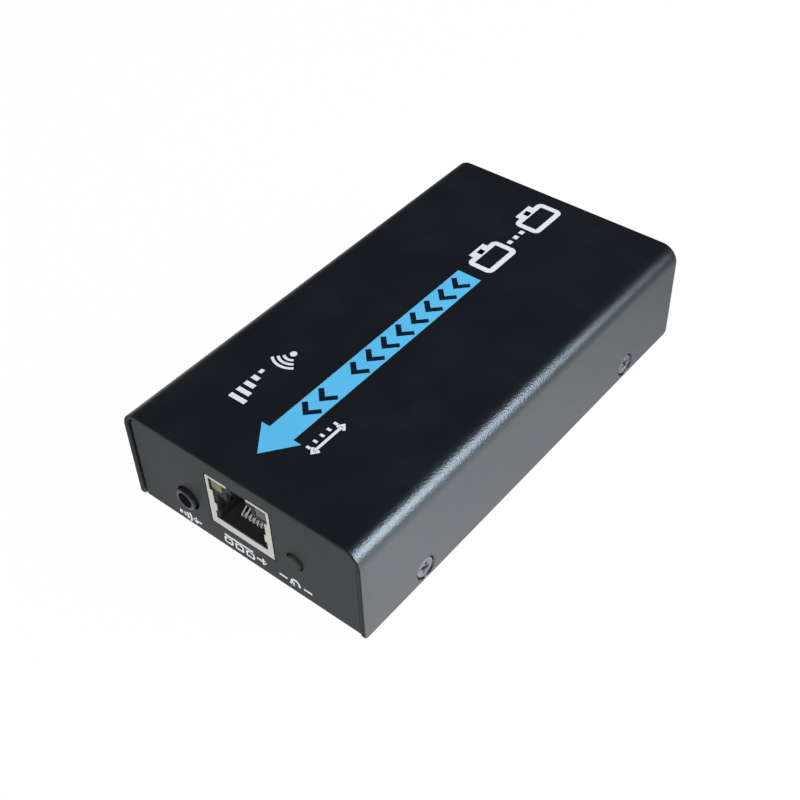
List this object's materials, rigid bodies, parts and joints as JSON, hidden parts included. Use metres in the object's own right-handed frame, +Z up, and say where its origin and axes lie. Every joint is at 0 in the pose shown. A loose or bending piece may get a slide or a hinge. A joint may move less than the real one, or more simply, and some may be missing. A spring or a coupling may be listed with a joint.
{
  "type": "hdmi extender",
  "caption": "Folded sheet-steel box that sends video over network cable, with a network socket, infrared jack and reset button in front and a video socket and power jack behind.",
  "frame": {"origin": "centre of the overall box's underside, on the surface that the rubber feet stand on", "axes": "+Z up, +Y from the front panel with the network socket to the rear panel, +X to the right seen from the front"},
  "size_m": [0.06, 0.1088, 0.025],
  "materials": {
    "powder_coat": "black fine-texture powder coat on steel sheet, satin",
    "powder_coat_tray": "black fine-texture powder coat on steel sheet, matt",
    "plated_screw": "bright zinc-plated steel",
    "foot_rubber": "matt black rubber",
    "brass_standoff": "turned brass",
    "solder_mask": "green solder mask on glass-fibre laminate",
    "tinned_shield": "warm matt tin plate",
    "socket_plastic": "black moulded nylon",
    "gilt_contact": "gold-flashed spring wire",
    "lamp_amber": "unlit olive-yellow lens",
    "lamp_green": "unlit grey-green lens",
    "lamp_red": "unlit red lens",
    "jack_plastic": "black moulded plastic, satin gloss",
    "button_plastic": "black moulded plastic, satin",
    "nickel_leg": "tin-plated strip",
    "nickel_shell": "nickel plate",
    "chip_resin": "moulded epoxy resin",
    "thermal_pad": "soft filled silicone",
    "sink_aluminium": "extruded aluminium",
    "can_aluminium": "drawn aluminium can",
    "ferrite": "pressed ferrite",
    "ceramic_part": "fired ceramic",
    "resistor_part": "glazed resistor film"
  },
  "bodies": {
    "case": {"top_cover": "powder_coat", "base_tray": "powder_coat_tray", "cover_screws": "plated_screw", "rubber_feet": "foot_rubber", "board_standoffs": "brass_standoff", "board_screws": "plated_screw", "circuit_board": "solder_mask", "lan_shield": "tinned_shield", "lan_housing": "socket_plastic", "lan_contacts": "gilt_contact", "lan_led_left": "lamp_amber", "lan_led_right": "lamp_green", "ir_jack_body": "jack_plastic", "ir_jack_contacts": "nickel_leg", "reset_frame": "nickel_leg", "reset_base": "socket_plastic", "reset_dome": "nickel_leg", "video_shell": "nickel_shell", "video_insert": "socket_plastic", "video_contacts": "gilt_contact", "power_jack_body": "jack_plastic", "power_jack_pin": "nickel_shell", "power_jack_contacts": "nickel_leg", "power_lamp": "lamp_red", "power_lamp_leads": "nickel_leg", "processor": "chip_resin", "thermal_pad": "thermal_pad", "heat_sink": "sink_aluminium", "memory_chip": "chip_resin", "flash_chip": "chip_resin", "video_chip": "chip_resin", "network_chip": "chip_resin", "line_transformer": "chip_resin", "chip_leads": "nickel_leg", "crystals": "nickel_shell", "inductors": "ferrite", "capacitor_cans": "can_aluminium", "capacitor_bases": "socket_plastic", "regulators": "chip_resin", "ceramic_capacitors": "ceramic_part", "chip_resistors": "resistor_part"},
    "reset": {"reset_button": "button_plastic"}
  },
  "joints": [
    {"name": "reset_press", "type": "slide", "parent": "case", "child": "reset", "axis": [0, 1, 0], "range_m": [0, 0.0003], "stiffness_N_per_m": 800, "springref_m": -0.0015}
  ]
}
